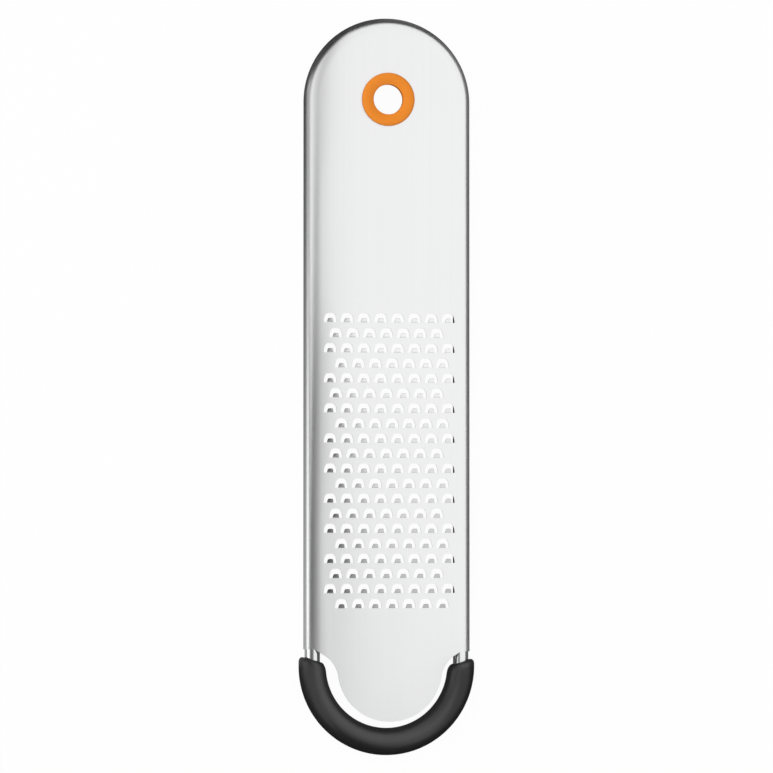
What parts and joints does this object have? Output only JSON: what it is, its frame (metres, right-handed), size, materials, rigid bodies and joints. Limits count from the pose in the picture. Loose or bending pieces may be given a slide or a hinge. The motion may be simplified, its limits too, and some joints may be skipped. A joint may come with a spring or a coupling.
{
  "type": "fine grater",
  "caption": "Flat hand grater: a long arched steel sheet with rows of fine raised teeth, its rim curled round a wire frame, with a rubber foot bend at one end and a hang ring at the other.",
  "frame": {"origin": "on the surface that the grater lies on, under the middle of its box, with the grating face up", "axes": "X runs across the grater, Y along it from the rubber foot to the arched end, Z out of the grating face"},
  "size_m": [0.0694, 0.2878, 0.0107],
  "materials": {
    "sheet_steel": "satin",
    "wire_steel": "polished",
    "foot_rubber": "matte",
    "ring_plastic": "satin"
  },
  "bodies": {
    "root": {"grater_plate": "sheet_steel", "frame_wire_arch": "wire_steel", "frame_wire_left": "wire_steel", "frame_wire_right": "wire_steel", "frame_wire_foot": "wire_steel", "foot_sleeve": "foot_rubber", "hang_ring_front": "ring_plastic", "hang_ring_back": "ring_plastic"}
  },
  "joints": []
}
